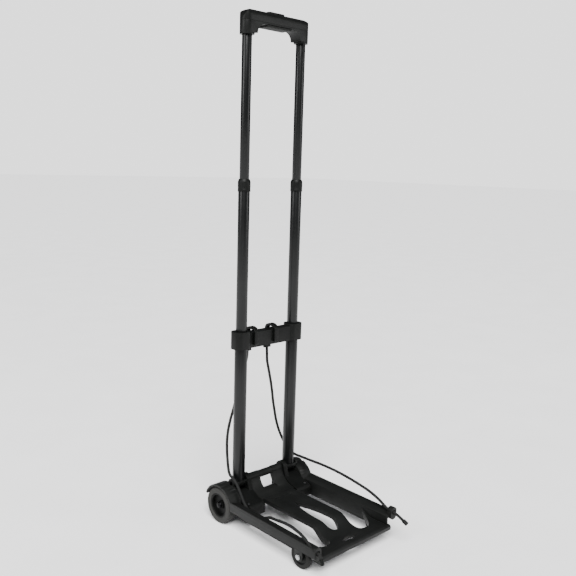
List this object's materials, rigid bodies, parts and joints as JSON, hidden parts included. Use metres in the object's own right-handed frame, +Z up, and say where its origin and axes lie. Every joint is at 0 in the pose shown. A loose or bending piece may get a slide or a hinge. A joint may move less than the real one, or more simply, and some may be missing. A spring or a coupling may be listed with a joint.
{
  "type": "folding luggage cart",
  "caption": "Folding hand cart with a moulded deck on four wheels, a two-tube telescopic handle that folds forward, and elastic cords with hooks.",
  "frame": {"origin": "centre of the footprint, on the floor", "axes": "+Z up along the handle tubes, -Y towards the front bar of the deck, +X to the right seen from the front edge looking back over the deck"},
  "size_m": [0.221, 0.3401, 0.9738],
  "materials": {
    "moulded_deck": "satin moulded polypropylene",
    "black_moulding": "satin moulded nylon",
    "grip_moulding": "fine textured ABS",
    "soft_pad": "soft ribbed rubber",
    "anodised_tube": "black anodised",
    "tyre_tread": "matt rubber",
    "wheel_hub": "satin moulded nylon",
    "black_steel": "black oxide",
    "bright_steel": "zinc plated",
    "elastic_cord": "braided elastic"
  },
  "bodies": {
    "base": {"load_deck": "moulded_deck", "rear_wall": "moulded_deck", "fold_shaft": "black_steel", "rear_axle": "bright_steel", "side_rail_left": "moulded_deck", "side_rail_right": "moulded_deck", "hinge_block_left": "black_moulding", "hinge_block_right": "black_moulding", "block_screw_left": "bright_steel", "block_screw_right": "bright_steel", "axle_cap_left": "black_steel", "axle_cap_right": "black_steel", "front_rivet_left": "bright_steel", "front_rivet_right": "bright_steel", "cord_lower_left": "elastic_cord", "cord_lower_right": "elastic_cord", "cord_cap_left": "black_moulding", "cord_cap_right": "black_moulding"},
    "rear_wheel_left": {"rear_tyre_left": "tyre_tread", "rear_hub_left": "wheel_hub"},
    "rear_wheel_right": {"rear_tyre_right": "tyre_tread", "rear_hub_right": "wheel_hub"},
    "front_wheel_left": {"front_tyre_left": "tyre_tread", "front_hub_left": "wheel_hub"},
    "front_wheel_right": {"front_tyre_right": "tyre_tread", "front_hub_right": "wheel_hub"},
    "lower_stage": {"crossbar": "black_moulding", "pivot_plug_left": "black_moulding", "pivot_plug_right": "black_moulding", "outer_tube_left": "anodised_tube", "outer_tube_right": "anodised_tube", "bungee_hook_left": "black_moulding", "bungee_hook_right": "black_moulding", "cord_upper_left": "elastic_cord", "cord_upper_right": "elastic_cord"},
    "middle_stage": {"mid_tube_left": "anodised_tube", "mid_tube_right": "anodised_tube", "mid_collar_left": "black_moulding", "mid_collar_right": "black_moulding"},
    "top_stage": {"grip_upper_shell": "grip_moulding", "grip_lower_shell": "grip_moulding", "grip_pad": "soft_pad", "inner_tube_left": "anodised_tube", "inner_tube_right": "anodised_tube"},
    "release_set": {"release_button": "grip_moulding", "push_rod_left": "black_steel", "push_rod_right": "black_steel"},
    "lower_pin_left": {"lower_lock_pin_left": "black_steel"},
    "upper_pin_left": {"upper_lock_pin_left": "bright_steel"},
    "lower_pin_right": {"lower_lock_pin_right": "black_steel"},
    "upper_pin_right": {"upper_lock_pin_right": "bright_steel"}
  },
  "joints": [
    {"name": "rear_wheel_spin_left", "type": "hinge", "parent": "base", "child": "rear_wheel_left", "pos_m": [-0.099, 0.1144, 0.035], "axis": [1, 0, 0], "continuous": true},
    {"name": "rear_wheel_spin_right", "type": "hinge", "parent": "base", "child": "rear_wheel_right", "pos_m": [0.099, 0.1144, 0.035], "axis": [1, 0, 0], "continuous": true},
    {"name": "front_wheel_spin_left", "type": "hinge", "parent": "base", "child": "front_wheel_left", "pos_m": [-0.0986, -0.1106, 0.023], "axis": [1, 0, 0], "continuous": true},
    {"name": "front_wheel_spin_right", "type": "hinge", "parent": "base", "child": "front_wheel_right", "pos_m": [0.0986, -0.1106, 0.023], "axis": [1, 0, 0], "continuous": true},
    {"name": "handle_fold", "type": "hinge", "parent": "base", "child": "lower_stage", "pos_m": [0, 0.1044, 0.078], "axis": [1, 0, 0], "range_deg": [0, 90]},
    {"name": "middle_slide", "type": "slide", "parent": "lower_stage", "child": "middle_stage", "axis": [0, 0, -1], "range_m": [0, 0.228]},
    {"name": "top_slide", "type": "slide", "parent": "middle_stage", "child": "top_stage", "axis": [0, 0, -1], "range_m": [0, 0.254]},
    {"name": "release_press", "type": "slide", "parent": "top_stage", "child": "release_set", "axis": [0, 0, -1], "range_m": [-0.003, 0], "stiffness_N_per_m": 600, "springref_m": -0.005},
    {"name": "upper_pin_slide_left", "type": "slide", "parent": "top_stage", "child": "upper_pin_left", "axis": [-1, 0, 0], "range_m": [-0.0018, 0]},
    {"name": "upper_pin_slide_right", "type": "slide", "parent": "top_stage", "child": "upper_pin_right", "axis": [1, 0, 0], "range_m": [-0.0018, 0]},
    {"name": "lower_pin_slide_left", "type": "slide", "parent": "middle_stage", "child": "lower_pin_left", "axis": [-1, 0, 0], "range_m": [-0.0018, 0]},
    {"name": "lower_pin_slide_right", "type": "slide", "parent": "middle_stage", "child": "lower_pin_right", "axis": [1, 0, 0], "range_m": [-0.0018, 0]}
  ],
  "couplings": [
    {"joint": "upper_pin_slide_left", "follows": "release_press", "ratio": 0.6},
    {"joint": "upper_pin_slide_right", "follows": "release_press", "ratio": 0.6},
    {"joint": "lower_pin_slide_left", "follows": "release_press", "ratio": 0.6},
    {"joint": "lower_pin_slide_right", "follows": "release_press", "ratio": 0.6}
  ]
}
